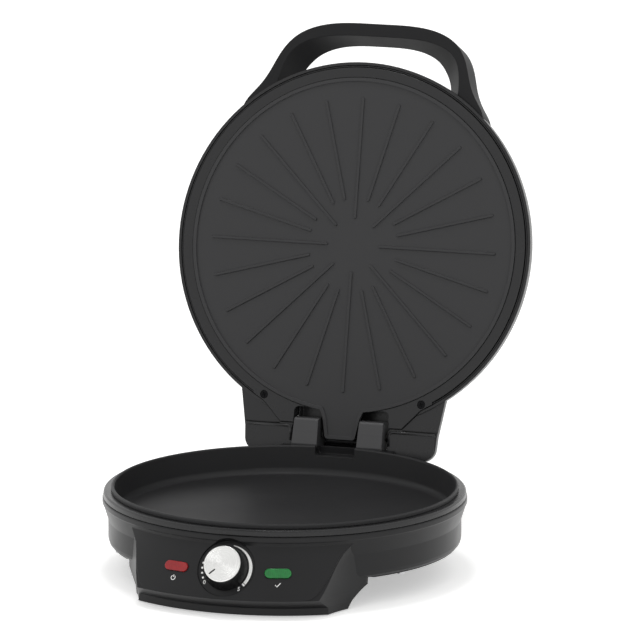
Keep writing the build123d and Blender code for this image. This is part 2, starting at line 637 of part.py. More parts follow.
# ---- thermostat and the bracket that holds it to the back of the panel
with BuildPart() as thermostat:
    with BuildSketch(DIAL.offset(-THERMOSTAT_BACK)):
        RectangleRounded(THERMOSTAT_SIZE[0], THERMOSTAT_SIZE[1], 2)
    extrude(amount=-THERMOSTAT_SIZE[2])
    with BuildSketch(DIAL.offset(-THERMOSTAT_BACK)):
        Circle(COLLAR_R)
    extrude(amount=COLLAR_H)
    with BuildSketch(DIAL.offset(-THERMOSTAT_BACK - SHAFT_IN)):
        Circle(SHAFT_R + RUN)
    extrude(amount=SHAFT_IN + COLLAR_H, mode=Mode.SUBTRACT)
thermostat.part.label = "thermostat"
export_step(thermostat.part, "parts/thermostat.step")

with BuildPart() as thermostat_bracket:
    # web against the thermostat's front
    with BuildSketch(DIAL.offset(-THERMOSTAT_BACK)):
        Rectangle(THERMOSTAT_SIZE[0], BRACKET_W)
        Circle(COLLAR_R + FIT, mode=Mode.SUBTRACT)
    extrude(amount=BRACKET_T)
    # two legs with feet against the back of the panel's boss
    for side in (-1, 1):
        with BuildSketch(DIAL.offset(-THERMOSTAT_BACK)):
            with Locations((side * (THERMOSTAT_SIZE[0] - BRACKET_T) / 2, 0)):
                Rectangle(BRACKET_T, BRACKET_W)
        extrude(amount=THERMOSTAT_BACK - SHELL_WALL)
        with BuildSketch(DIAL.offset(-SHELL_WALL)):
            with Locations((side * (THERMOSTAT_SIZE[0] + BRACKET_FOOT) / 2, 0)):
                Rectangle(BRACKET_FOOT, BRACKET_W)
        extrude(amount=-BRACKET_T)
thermostat_bracket.part.label = "thermostat_bracket"
export_step(thermostat_bracket.part, "parts/thermostat_bracket.step")

# ================================================================ knob
# ---- thermostat_shaft turns with the knob
with BuildPart() as thermostat_shaft:
    with BuildSketch(DIAL.offset(-THERMOSTAT_BACK - SHAFT_IN + FIT)):
        Circle(SHAFT_R)
    extrude(amount=THERMOSTAT_BACK + SHAFT_IN - FIT + KNOB_LIFT + KNOB_H - HUB_TOP)
thermostat_shaft.part.label = "thermostat_shaft"
export_step(thermostat_shaft.part, "parts/thermostat_shaft.step")

# ---- knob_skirt: moulded grip with a finely ribbed side
with BuildPart() as knob_skirt:
    with BuildSketch(KNOB_FOOT):
        Circle(KNOB_BASE_R)
    with BuildSketch(KNOB_FOOT.offset(KNOB_H)):
        Circle(KNOB_TOP_R)
    loft()
    with BuildSketch(KNOB_FOOT):
        Circle(SHAFT_R + PRESS)
    extrude(amount=KNOB_H - HUB_TOP, mode=Mode.SUBTRACT)
knob_skirt.part.label = "knob_skirt"
export_step(knob_skirt.part, "parts/knob_skirt.step")

# ---- knob_cap: spun metal disc with a groove for the pointer
with BuildPart() as knob_cap:
    with BuildSketch(KNOB_FOOT.offset(KNOB_H)):
        Circle(KNOB_TOP_R)
    extrude(amount=CAP_T)
    fillet(knob_cap.faces().sort_by(Axis(DIAL.origin, DIAL.z_dir))[-1].edges(), CAP_ROUND)
    with BuildSketch(KNOB_FOOT.offset(KNOB_H + CAP_T - POINTER_D)):
        with Locations(Rotation(0, 0, POINTER_ANGLE)):
            with Locations((0, KNOB_TOP_R - POINTER_IN - POINTER_L / 2)):
                SlotOverall(POINTER_L, POINTER_W, rotation=90)
    extrude(amount=CAP_T, mode=Mode.SUBTRACT)
knob_cap.part.label = "knob_cap"
export_step(knob_cap.part, "parts/knob_cap.step")

# ================================================================ hinge
for name, side in (("left", -1), ("right", 1)):
    # arm: rises from the hinge mount and carries the pin in its round end
    with BuildPart() as arm:
        with BuildSketch(SIDE.offset(side * ARM_X)) as arm_side:
            with Locations((HINGE_BACK, HINGE_Z)):
                Circle(ARM_LOBE_R)
            Polygon(
                (ARM_FRONT, RIM_Z + 0.4), (HINGE_BACK - 10, HINGE_Z + 13.6), (HINGE_BACK - 8, HINGE_Z + 15.2),
                (HINGE_BACK + 1, HINGE_Z + ARM_LOBE_R),
                (HINGE_BACK + 8, HINGE_Z - 4), (MOUNT_BACK, HINGE_Z - ARM_LOBE_R + SEAT),
                (MOUNT_BACK - 2, HINGE_Z - ARM_LOBE_R), (HINGE_BACK - 10, HUMP_TOP), (ARM_FRONT, HUMP_TOP), align=None,
            )
            with Locations((HINGE_BACK, HINGE_Z)):
                Circle(PIN_R + PRESS, mode=Mode.SUBTRACT)
        extrude(amount=ARM_W, both=True)
        with BuildSketch(FRONT.offset(-ARM_FRONT + 10)):
            Polygon(
                (side * ARM_X - ARM_W / 2, HINGE_Z - 2 * ARM_LOBE_R), (side * ARM_X + ARM_W / 2, HINGE_Z - 2 * ARM_LOBE_R),
                (side * ARM_X + ARM_TOP_W / 2, HINGE_Z + ARM_LOBE_R + 1), (side * ARM_X - ARM_TOP_W / 2, HINGE_Z + ARM_LOBE_R + 1),
                align=None,
            )
        extrude(amount=-80, mode=Mode.INTERSECT)
        add(base_housing.part, mode=Mode.SUBTRACT)
    arm.part.label = f"hinge_arm_{name}"
    export_step(arm.part, f"parts/hinge_arm_{name}.step")
    # pin: fixed in the arm, turns in the lid's bush
    with BuildPart() as pin:
        with BuildSketch(SIDE.offset(side * PIN_START)):
            with Locations((HINGE_BACK, HINGE_Z)):
                Circle(PIN_R)
        extrude(amount=side * PIN_L)
    pin.part.label = f"hinge_pin_{name}"
    export_step(pin.part, f"parts/hinge_pin_{name}.step")
    with BuildPart() as bush:
        with BuildSketch(SIDE.offset(side * (SLOT_HALF + 1))):
            with Locations((HINGE_BACK, HINGE_Z)):
                Circle(BUSH_R)
                Circle(PIN_R + RUN, mode=Mode.SUBTRACT)
        extrude(amount=side * BUSH_L)
    bush.part.label = f"lid_bush_{name}"
    export_step(bush.part, f"parts/lid_bush_{name}.step")

# ================================================================ lid
def dome(inset):
    """Closed half profile of the lid's dome, u outwards and n along the lid's axis."""
    side = SHELL_R - inset
    top = -DOME_D + inset
    edge = -DOME_EDGE + inset
    with BuildSketch(LID_SIDE) as profile:
        with BuildLine():
            Polyline((0, 0), (side, 0), (side - 1.0, edge))
            ThreePointArc((side - 1.0, edge), (side * 0.5, top + (edge - top) * 0.25), (0, top))
            Line((0, top), (0, 0))
        make_face()
        corner = profile.vertices().sort_by_distance((side - 1.0, edge))[0]
        fillet(corner, DOME_SHOULDER - inset)
    return profile.sketch


def skirt(inset):
    """Half-depth plan of the hinge skirt."""
    right = [(x - inset, max(y, inset - SKIRT_END)) for x, y in SKIRT_SIDES]
    with BuildSketch(LID.offset(-SKIRT_STEP)) as plan:
        with BuildLine():
            Polyline(*right, *[(-x, y) for x, y in reversed(right)], close=True)
        make_face()
        fillet(plan.vertices().group_by(Axis.Y)[0], SKIRT_CORNER)
    return plan.sketch


def frame_plan(grow=0.0):
    """Flange of the inner frame that reaches down to the hinge, with oblique ends."""
    right = [(x + grow, y - grow) for x, y in FLANGE_SIDES]
    Polygon(*right, *[(-x, y) for x, y in reversed(right)], align=None)


# ---- lid_shell: domed outer shell with the hinge skirt and its two blocks
with BuildPart() as lid_shell:
    extrude(skirt(0), amount=-SKIRT_D + SKIRT_STEP)
    fillet(lid_shell.faces().sort_by(LID_AXIS)[0].edges(), 8)
    revolve(dome(0), axis=LID_AXIS)
    # blocks stand proud of the skirt's face, with a rounded upper edge
    for side in (-1, 1):
        with BuildSketch(LID.offset(-SKIRT_STEP)) as block:
            with Locations((side * (SLOT_HALF + BLOCK_OUT) / 2, -(BLOCK_TOP + SKIRT_END) / 2)):
                Rectangle(BLOCK_OUT - SLOT_HALF, SKIRT_END - BLOCK_TOP)
            fillet(block.vertices().group_by(Axis.Y)[0].sort_by(Axis.X)[0 if side < 0 else -1], SKIRT_CORNER)
        extrude(amount=SKIRT_STEP + BLOCK_PROUD)
    revolve(dome(LID_WALL), axis=LID_AXIS, mode=Mode.SUBTRACT)
    # walls that close the dome behind the slot, then the slot between the blocks for the two arms
    with BuildSketch(LID.offset(-PLATE_T - SEAT)):
        with Locations((0, -(WINDOW_TOP + SHELL_R) / 2)):
            Rectangle(2 * (SLOT_HALF + LID_WALL), SHELL_R - WINDOW_TOP + 2 * LID_WALL)
    slot_box = extrude(amount=-DOME_D, mode=Mode.PRIVATE)
    add(slot_box & revolve(dome(0), axis=LID_AXIS, mode=Mode.PRIVATE))
    with BuildSketch(LID.offset(BLOCK_PROUD + 1)):
        with Locations((0, -(WINDOW_TOP + SKIRT_END + 10) / 2)):
            Rectangle(2 * SLOT_HALF, SKIRT_END + 10 - WINDOW_TOP)
    extrude(amount=-DOME_D, mode=Mode.SUBTRACT)
    # seats for the bushes
    with BuildSketch(SIDE.offset(-SLOT_HALF - 1 - BUSH_L)):
        with Locations((HINGE_BACK, HINGE_Z)):
            Circle(BUSH_R + PRESS)
    extrude(amount=2 * (SLOT_HALF + 1 + BUSH_L), mode=Mode.SUBTRACT)
    # rebate that takes the inner frame
    with BuildSketch(LID.offset(-FRAME_SINK)):
        Circle(FRAME_R + FIT)
        frame_plan(FIT)
    extrude(amount=SKIRT_D, mode=Mode.SUBTRACT)
lid_shell.part.label = "lid_shell"
export_step(lid_shell.part, "parts/lid_shell.step")

# ---- lid_frame: inner ring and flange round the upper plate, with a window for each arm
with BuildPart() as lid_frame:
    with BuildSketch(LID.offset(-FRAME_SINK + FIT)):
        Circle(FRAME_R)
        frame_plan()
        Circle(PLATE_R + LIP_W + FIT, mode=Mode.SUBTRACT)
        for side in (-1, 1):
            with Locations((side * (WINDOW_IN + WINDOW_OUT) / 2, -(WINDOW_TOP + SKIRT_END) / 2)):
                RectangleRounded(WINDOW_OUT - WINDOW_IN, SKIRT_END - WINDOW_TOP, WINDOW_R, mode=Mode.SUBTRACT)
        with Locations((0, -(WINDOW_TOP + SKIRT_END) / 2)):
            Rectangle(2 * (WINDOW_IN + WINDOW_R), SKIRT_END - WINDOW_TOP, mode=Mode.SUBTRACT)
    extrude(amount=FRAME_T)
    with BuildSketch(LID.offset(-FRAME_SINK)):
        with Locations(*SCREW_PLACES):
            Circle(FRAME_SCREW_R + FIT)
    extrude(amount=2 * FRAME_T, mode=Mode.SUBTRACT)
lid_frame.part.label = "lid_frame"
export_step(lid_frame.part, "parts/lid_frame.step")

# ---- frame_screws: heads flush in the flange
with BuildPart() as frame_screws:
    with BuildSketch(LID.offset(-FRAME_SINK + FIT)):
        with Locations(*SCREW_PLACES):
            Circle(FRAME_SCREW_R)
    extrude(amount=FRAME_T - SCREW_SINK)
frame_screws.part.label = "frame_screws"
export_step(frame_screws.part, "parts/frame_screws.step")

# ---- upper_plate: coated plate with a raised lip, radial ribs and the tongue
with BuildPart() as upper_plate:
    with BuildSketch(LID, mode=Mode.PRIVATE) as flat:
        Circle(PLATE_R)
        Polygon(
            (TONGUE_ROOT, -PLATE_R + 1), (TONGUE_NECK[0], -TONGUE_NECK[1]), (TONGUE_HALF, -TONGUE_END),
            (-TONGUE_HALF, -TONGUE_END), (-TONGUE_NECK[0], -TONGUE_NECK[1]), (-TONGUE_ROOT, -PLATE_R + 1),
            (0, -PLATE_R / 2), align=None,
        )
    with BuildSketch(LID.offset(-PLATE_T)):
        add(flat.sketch_local)
        offset(amount=LIP_W, kind=Kind.ARC)
    extrude(amount=PLATE_T + LIP_H)
    with BuildSketch(LID):
        add(flat.sketch_local)
    extrude(amount=LIP_H * 2, mode=Mode.SUBTRACT)
    for start, inner in ((0, RIB_INNER_LONG), (15, RIB_INNER_SHORT), (30, RIB_INNER_SHORT)):
        with BuildSketch(LID):
            with PolarLocations((RIB_OUTER + inner) / 2, RIB_COUNT, 90 + start):
                SlotOverall(RIB_OUTER - inner, RIB_W)
        extrude(amount=RIB_H, taper=18)
upper_plate.part.label = "upper_plate"
export_step(upper_plate.part, "parts/upper_plate.step")

# ---- upper_element and upper_reflector behind the plate
with BuildPart() as upper_element:
    with BuildSketch(LID_SIDE):
        with Locations((ELEMENT_RING, -PLATE_T - SEAT - ELEMENT_R)):
            Circle(ELEMENT_R)
    revolve(axis=LID_AXIS, revolution_arc=345)
upper_element.part.label = "upper_element"
export_step(upper_element.part, "parts/upper_element.step")

with BuildPart() as upper_reflector:
    with BuildSketch(LID_SIDE):
        with BuildLine():
            top = -PLATE_T - SEAT
            Polyline(
                (0, top - REFLECTOR_DEEP), (REFLECTOR_R - REFLECTOR_SLOPE, top - REFLECTOR_DEEP), (REFLECTOR_R, top),
                (REFLECTOR_R - REFLECTOR_T, top),
                (REFLECTOR_R - REFLECTOR_SLOPE - REFLECTOR_T / 2, top - REFLECTOR_DEEP + REFLECTOR_T),
                (0, top - REFLECTOR_DEEP + REFLECTOR_T), close=True,
            )
        make_face()
    revolve(axis=LID_AXIS)
upper_reflector.part.label = "upper_reflector"
export_step(upper_reflector.part, "parts/upper_reflector.step")

def half_outline(points):
    """Smooth outline through one half's points and its mirror image, closed by a straight line."""
    right = [(x, (SHELL_R + up - HANDLE_START) / SLOPE_C) for x, up in points]
    Spline(*right, *[(-x, y) for x, y in reversed(right[:-1])])
    Line((-right[0][0], right[0][1]), right[0])


# ---- lid_handle: sloping loop, its root shaped to the dome
with BuildPart() as lid_handle:
    with BuildSketch(HANDLE):
        with BuildLine():
            half_outline(HANDLE_OUTER)
        make_face()
    with BuildSketch(HANDLE.offset(-HANDLE_T)):
        with BuildLine():
            half_outline(HANDLE_BACK)
        make_face()
    loft()
    with BuildSketch(HANDLE):
        with BuildLine():
            half_outline(GAP_FRONT)
        make_face()
    with BuildSketch(HANDLE.offset(-HANDLE_T)):
        with BuildLine():
            half_outline(GAP_BACK)
        make_face()
    loft(mode=Mode.SUBTRACT)
    revolve(dome(0), axis=LID_AXIS, mode=Mode.SUBTRACT)
    with BuildSketch(LID.offset(HANDLE_T)):
        Circle(SHELL_R)
    extrude(amount=-HANDLE_T - SKIRT_STEP, mode=Mode.SUBTRACT)
    with BuildSketch(LID):
        Circle(HANDLE_ROOT_R)
    extrude(amount=-2 * DOME_D, mode=Mode.SUBTRACT)
lid_handle.part.label = "lid_handle"
export_step(lid_handle.part, "parts/lid_handle.step")
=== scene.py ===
"""Looks of a round electric griddle with its lid open: finishes, print, small details, studio."""
import json
import math

import bmesh
import bpy
from mathutils import Matrix, Vector


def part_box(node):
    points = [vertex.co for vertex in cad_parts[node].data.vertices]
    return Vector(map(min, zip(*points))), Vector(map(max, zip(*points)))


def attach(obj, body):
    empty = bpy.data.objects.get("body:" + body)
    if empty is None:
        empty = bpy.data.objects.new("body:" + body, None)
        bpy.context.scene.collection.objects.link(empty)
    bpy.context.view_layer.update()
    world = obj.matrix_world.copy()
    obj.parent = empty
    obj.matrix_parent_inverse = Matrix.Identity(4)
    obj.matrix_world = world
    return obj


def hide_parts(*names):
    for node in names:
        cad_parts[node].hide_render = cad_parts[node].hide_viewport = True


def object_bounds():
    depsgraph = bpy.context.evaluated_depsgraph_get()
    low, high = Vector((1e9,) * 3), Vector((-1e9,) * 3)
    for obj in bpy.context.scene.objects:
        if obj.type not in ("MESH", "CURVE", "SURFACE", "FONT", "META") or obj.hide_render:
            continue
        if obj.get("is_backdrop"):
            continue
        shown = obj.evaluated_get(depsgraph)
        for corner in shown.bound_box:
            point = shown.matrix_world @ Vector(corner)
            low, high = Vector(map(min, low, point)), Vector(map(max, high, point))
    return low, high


bl_info = {
    "name": "Electric griddle",
    "version": (1, 0, 0),
    "blender": (4, 5, 0),
    "location": "View3D > Sidebar > Griddle",
    "description": "Finishes and small details of a round electric griddle",
    "category": "Object",
}

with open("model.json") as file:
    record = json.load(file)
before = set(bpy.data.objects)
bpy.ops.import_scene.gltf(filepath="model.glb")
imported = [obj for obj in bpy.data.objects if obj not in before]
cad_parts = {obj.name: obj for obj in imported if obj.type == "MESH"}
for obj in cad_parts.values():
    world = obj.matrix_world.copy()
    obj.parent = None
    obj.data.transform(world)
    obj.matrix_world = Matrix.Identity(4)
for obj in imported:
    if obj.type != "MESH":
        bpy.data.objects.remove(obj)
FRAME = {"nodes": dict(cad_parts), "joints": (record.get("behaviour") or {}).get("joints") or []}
NODES = FRAME["nodes"]
MM = 0.001
JOINTS = {j["name"]: j for j in FRAME["joints"]}
# the knob's axis: where it starts at the back of the recess, and which way it points
DIAL_POINT = Vector(JOINTS["knob_turn"]["pos_m"])
DIAL_OUT = Vector(JOINTS["knob_turn"]["axis"]).normalized()
# the lid's face leans back from upright by this much; up the lid and out of it follow
LID_LEAN = math.radians(JOINTS["lid_hinge"]["range_deg"][1] - 90)
LID_UP = Vector((0, math.sin(LID_LEAN), math.cos(LID_LEAN)))
LID_OUT = Vector((0, -math.cos(LID_LEAN), math.sin(LID_LEAN)))
HINGE = Vector(JOINTS["lid_hinge"]["pos_m"])
# the upper plate's middle is this far up the lid from the hinge axis, and its face this far out
PLATE_UP = 170.9 * MM
PLATE_OUT = 5.3 * MM
# the pan's axis: the plate's middle comes down on it when the lid is closed
PAN_Y = HINGE.y - PLATE_UP
# the control panel is part of a cone round the pan's axis: its radius at a height, and its flare
PANEL_R = 158.0 * MM
PANEL_Z = 61.0 * MM
PANEL_FLARE = 0.62
# the knob's skirt is a cone: radii at its foot and its cap, its height, its foot above the recess
SKIRT_FOOT_R = 19.4 * MM
SKIRT_CAP_R = 16.4 * MM
SKIRT_H = 13.0 * MM
SKIRT_LIFT = 0.5 * MM
# the pointer groove in the cap: half its size, its middle off the axis, its floor, and its turn
GROOVE_HALF_L = 3.3 * MM
GROOVE_HALF_W = 0.7 * MM
GROOVE_OFF = 10.9 * MM
GROOVE_FLOOR = 14.63 * MM
GROOVE_TURN = math.radians(225)
# heads of the screws in the lid's frame
HEAD_R = 3.4 * MM
HEAD_L = 2.6 * MM


# ---------------------------------------------------------------- helpers
def hex_rgb(text):
    """Linear colour from an sRGB hex value."""
    parts = [int(text[i:i + 2], 16) / 255 for i in (1, 3, 5)]
    return [c / 12.92 if c <= 0.04045 else ((c + 0.055) / 1.055) ** 2.4 for c in parts] + [1.0]


def shade(colour, factor):
    """The same colour, brighter or darker by a factor."""
    return [min(1.0, c * factor) for c in colour[:3]] + [1.0]


def plug(tree, node, **inputs):
    """Sets a node's sockets, by name or by number as in in2, to values or links."""
    for key, value in inputs.items():
        numbered = key.startswith("in") and key[2:].isdigit()
        socket = node.inputs[int(key[2:]) if numbered else key.replace("_", " ")]
        if isinstance(value, bpy.types.NodeSocket):
            tree.links.new(value, socket)
        else:
            socket.default_value = value


def add_node(tree, kind, settings=None, **inputs):
    """Adds one node; settings are its properties, inputs its sockets."""
    node = tree.nodes.new(kind)
    for key, value in (settings or {}).items():
        setattr(node, key, value)
    plug(tree, node, **inputs)
    return node


def maths(tree, operation, *values):
    """Output of a maths node."""
    inputs = {f"in{i}": value for i, value in enumerate(values)}
    return add_node(tree, "ShaderNodeMath", {"operation": operation}, **inputs).outputs[0]


def object_place(tree):
    """The object's own coordinates, in metres."""
    return add_node(tree, "ShaderNodeTexCoord").outputs["Object"]


def noise(tree, place, scale, detail):
    """Cloudy values about one half, scale of them to a metre."""
    node = add_node(tree, "ShaderNodeTexNoise", Vector=place, Scale=scale, Detail=detail)
    return node.outputs[0]


def spread(tree, cloud, low, high):
    """Noise stretched to run from low to high."""
    node = add_node(tree, "ShaderNodeMapRange", Value=cloud, in1=0.3, in2=0.7, in3=low, in4=high)
    return node.outputs[0]


def blend(tree, share, first, second):
    """Mix of two colours."""
    node = add_node(tree, "ShaderNodeMix", {"data_type": "RGBA"}, in0=share, in6=first, in7=second)
    return node.outputs[2]


def rounded(tree, radius):
    """Normal with the edges rounded by a radius."""
    return add_node(tree, "ShaderNodeBevel", {"samples": 6}, Radius=radius).outputs[0]


def bump(tree, height, strength, distance, **normal):
    """Normal with a fine relief."""
    node = add_node(tree, "ShaderNodeBump", Strength=strength, Distance=distance, Height=height,
                    **normal)
    return node.outputs[0]


def new_material(name):
    """An empty node material with its output, and a Principled shader linked to it."""
    material = bpy.data.materials.new(name)
    material.use_nodes = True
    tree = material.node_tree
    tree.nodes.clear()
    out = tree.nodes.new("ShaderNodeOutputMaterial")
    shader = tree.nodes.new("ShaderNodeBsdfPrincipled")
    tree.links.new(shader.outputs[0], out.inputs["Surface"])
    return material, tree, shader


def new_group(name, **sockets):
    """An empty geometry group, its inputs given as name=kind, with one geometry output."""
    tree = bpy.data.node_groups.new(name, "GeometryNodeTree")
    for socket, kind in sockets.items():
        tree.interface.new_socket(socket, in_out="INPUT", socket_type="NodeSocket" + kind)
    tree.interface.new_socket("Geometry", in_out="OUTPUT", socket_type="NodeSocketGeometry")
    return tree, add_node(tree, "NodeGroupInput").outputs


def close_group(tree, instances, finish):
    """Makes the instances real, gives them their finish and sends them out of the group."""
    real = add_node(tree, "GeometryNodeRealizeInstances", Geometry=instances)
    made = add_node(tree, "GeometryNodeSetMaterial", Geometry=real.outputs[0], Material=finish)
    add_node(tree, "NodeGroupOutput", Geometry=made.outputs[0])


def dress(material, *names):
    """Gives CAD nodes one material all over."""
    for name in names:
        slots = NODES[name].data.materials
        slots.clear()
        slots.append(material)


def place_at(origin, out, up=Vector((0, 0, 1))):
    """Matrix that puts local Z along out, with local Y as near up as it can be."""
    z = out.normalized()
    x = up.cross(z).normalized()
    y = z.cross(x)
    matrix = Matrix((x, y, z)).transposed().to_4x4()
    matrix.translation = origin
    return matrix


def turned(angle, radius, height=0.0):
    """Point at an angle in degrees round the local Z axis."""
    angle = math.radians(angle)
    return Vector((radius * math.cos(angle), radius * math.sin(angle), height))


def add_object(name, data):
    """Links a new object with this data to the scene."""
    thing = bpy.data.objects.new(name, data)
    bpy.context.scene.collection.objects.link(thing)
    return thing


def frozen(holder):
    """The mesh that an object shows, as plain data; the object goes."""
    graph = bpy.context.evaluated_depsgraph_get()
    mesh = bpy.data.meshes.new_from_object(holder.evaluated_get(graph))
    bpy.data.objects.remove(holder)
    return mesh


def grown(tree, inputs):
    """The plain mesh that a geometry tree makes with these inputs."""
    holder = add_object(tree.name, bpy.data.meshes.new(tree.name))
    modifier = holder.modifiers.new(tree.name, "NODES")
    modifier.node_group = tree
    for socket in tree.interface.items_tree:
        if socket.in_out == "INPUT":
            modifier[socket.identifier] = inputs[socket.name]
    holder.update_tag()
    return frozen(holder)


def mesh_from(shape, name):
    """Mesh data made of a bmesh, which goes."""
    mesh = bpy.data.meshes.new(name)
    shape.to_mesh(mesh)
    shape.free()
    return mesh


def mesh_piece(name, mesh, body, material):
    """Links a finished mesh as a piece of the griddle."""
    mesh.materials.clear()
    mesh.materials.append(material)
    piece = add_object(name, mesh)
    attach(piece, body)
    return piece


def tube(path, wide, high, sides=12):
    """Bmesh of an oval bar along a flat path: wide across it in the plane, high along local Z."""
    shape = bmesh.new()
    last = len(path) - 1
    rings = []
    for i, point in enumerate(path):
        along = (path[min(i + 1, last)] - path[max(i - 1, 0)]).normalized()
        across = along.cross(Vector((0, 0, 1)))
        ring = []
        for k in range(sides):
            angle = math.tau * k / sides
            rise = Vector((0, 0, high * math.sin(angle)))
            ring.append(shape.verts.new(point + across * wide * math.cos(angle) + rise))
        rings.append(ring)
    for one, two in zip(rings, rings[1:]):
        for k in range(sides):
            after = (k + 1) % sides
            shape.faces.new((one[k], two[k], two[after], one[after]))
    shape.faces.new(rings[0][::-1])
    shape.faces.new(rings[-1])
    bmesh.ops.recalc_face_normals(shape, faces=shape.faces)
    return shape


# ---------------------------------------------------------------- finishes
def moulded_plastic(name, colour, roughness, ior=1.42):
    """Injection-moulded glass-filled nylon: dark, satin, with a fine sparked grain."""
    material, tree, shader = new_material(name)
    place = object_place(tree)
    cloud = noise(tree, place, 38.0, 3.0)
    # the grain is about 0.1 mm on the real mould and drawn at 0.9 mm so that it shows
    grain = noise(tree, place, 1 / (0.9 * MM), 2.0)
    base = hex_rgb(colour)
    # moulded edges are rounded by about a millimetre
    edge = rounded(tree, 1.1 * MM)
    plug(tree, shader, Base_Color=blend(tree, cloud, base, shade(base, 1.16)), IOR=ior,
         Roughness=spread(tree, cloud, roughness - 0.03, roughness + 0.03),
         Normal=bump(tree, grain, 0.03, 0.0003, Normal=edge))
    return material


def non_stick(name, colour, roughness):
    """Baked fluoropolymer on pressed aluminium: dark grey, satin, with fine metallic specks."""
    material, tree, shader = new_material(name)
    place = object_place(tree)
    cloud = noise(tree, place, 14.0, 4.0)
    # specks of about 0.2 mm, drawn at 0.7 mm
    specks = add_node(tree, "ShaderNodeTexVoronoi", Vector=place, Scale=1400.0)
    speck = maths(tree, "LESS_THAN", specks.outputs["Distance"], 0.12)
    spray = noise(tree, place, 900.0, 2.0)
    base = hex_rgb(colour)
    soft = blend(tree, cloud, base, shade(base, 1.12))
    plug(tree, shader, Base_Color=blend(tree, speck, soft, shade(base, 1.7)), IOR=1.35,
         Roughness=spread(tree, cloud, roughness - 0.04, roughness + 0.05),
         Normal=bump(tree, spray, 0.05, 0.0002, Normal=rounded(tree, 0.6 * MM)))
    return material


def plain_metal(name, colour, roughness):
    """Plated or oxidised steel, or bare sheet, with a drawn grain."""
    material, tree, shader = new_material(name)
    stretch = add_node(tree, "ShaderNodeMapping", Vector=object_place(tree), Scale=(0.05, 1.0, 1.0))
    grain = noise(tree, stretch.outputs[0], 1 / (0.6 * MM), 3.0)
    plug(tree, shader, Base_Color=hex_rgb(colour), Metallic=1.0,
         Roughness=spread(tree, grain, roughness - 0.07, roughness + 0.1),
         Normal=bump(tree, grain, 0.06, 0.0002))
    return material


def spun_aluminium(name, colour, origin, out):
    """Disc turned on a lathe: rings from the tool, and highlights that spread along them."""
    material, tree, shader = new_material(name)
    from_middle = add_node(tree, "ShaderNodeVectorMath", {"operation": "SUBTRACT"},
                           in0=object_place(tree), in1=tuple(origin))
    along = add_node(tree, "ShaderNodeVectorMath", {"operation": "CROSS_PRODUCT"},
                     in0=tuple(out), in1=from_middle.outputs[0])
    radius = add_node(tree, "ShaderNodeVectorMath", {"operation": "LENGTH"}, in0=along.outputs[0])
    # tool rings of 0.1 mm, drawn at 0.5 mm
    turns = maths(tree, "MULTIPLY", radius.outputs["Value"], 2000.0)
    rings = add_node(tree, "ShaderNodeTexNoise", {"noise_dimensions": "1D"}, W=turns, Scale=1.0,
                     Detail=2.0).outputs[0]
    plug(tree, shader, Base_Color=hex_rgb(colour), Metallic=1.0, Anisotropic=0.9,
         Roughness=spread(tree, rings, 0.2, 0.32), Normal=bump(tree, rings, 0.12, 0.0002),
         Tangent=along.outputs[0])
    return material


def tinted_lens(name, colour, deep):
    """Tinted clear polycarbonate over a lamp: glossy, uneven in depth, ribbed inside."""
    material, tree, shader = new_material(name)
    place = object_place(tree)
    ribs = add_node(tree, "ShaderNodeTexWave", {"bands_direction": "X"}, Vector=place, Scale=180.0,
                    Distortion=0.4)
    ribbed = maths(tree, "MULTIPLY", ribs.outputs["Fac"], 0.16)
    both = maths(tree, "MULTIPLY_ADD", noise(tree, place, 240.0, 1.0), 0.6, ribbed)
    plug(tree, shader, Base_Color=blend(tree, both, hex_rgb(deep), hex_rgb(colour)),
         Roughness=0.14, IOR=1.5, Normal=rounded(tree, 0.9 * MM))
    return material


def pad_print(name, colour):
    """Two-part ink from a silicone pad: opaque, slightly uneven, a bit duller than plastic."""
    material, tree, shader = new_material(name)
    thin = noise(tree, object_place(tree), 700.0, 2.0)
    base = hex_rgb(colour)
    plug(tree, shader, Base_Color=blend(tree, thin, shade(base, 0.93), base), Roughness=0.4)
    return material


def matt_rubber_and_painted_shade(name, colour):
    """Moulded rubber or silicone: matt, slightly dusty; near black, it also makes strips of painted
    shade.
    """
    material, tree, shader = new_material(name)
    dust = noise(tree, object_place(tree), 220.0, 4.0)
    base = hex_rgb(colour)
    plug(tree, shader, Base_Color=blend(tree, dust, base, shade(base, 1.4)), Roughness=0.75,
         Normal=bump(tree, dust, 0.1, 0.0002))
    return material


# ---------------------------------------------------------------- properties
def colour_property(name, value, text):
    """A colour that the user can change, given as an sRGB hex value."""
    return bpy.props.StringProperty(name=name, default=value, description=text)


def length_property(name, millimetres, text):
    """A length in metres that the user can change, given in millimetres."""
    return bpy.props.FloatProperty(name=name, default=millimetres * MM, description=text,
                                   unit="LENGTH", precision=5)


def number_property(name, value, text, **settings):
    """A number that the user can change."""
    return bpy.props.FloatProperty(name=name, default=value, description=text, **settings)


class GriddleFinish(bpy.types.PropertyGroup):
    """Colours of the griddle's finishes."""
    cover: colour_property("Lid and ring", "#202021", "Lid shell, inner frame and rim ring")
    housing: colour_property("Housing", "#1c1c1d", "Black of the base, its covers and the handle")
    arm: colour_property("Hinge arms", "#404041", "Moulded dark grey of the hinge arms")
    plate: colour_property("Upper plate", "#353536", "Non-stick coating of the upper plate")
    pan: colour_property("Lower pan", "#232324", "Non-stick coating of the lower pan")
    print_white: colour_property("Print", "#fbfbf9", "Marks round the dial and under the lenses")
    red: colour_property("Power lens", "#b0161c", "Lens of the power lamp")
    green: colour_property("Ready lens", "#12923c", "Lens of the ready lamp")
    cap: colour_property("Knob cap", "#e8e8e6", "Spun aluminium of the knob's cap")


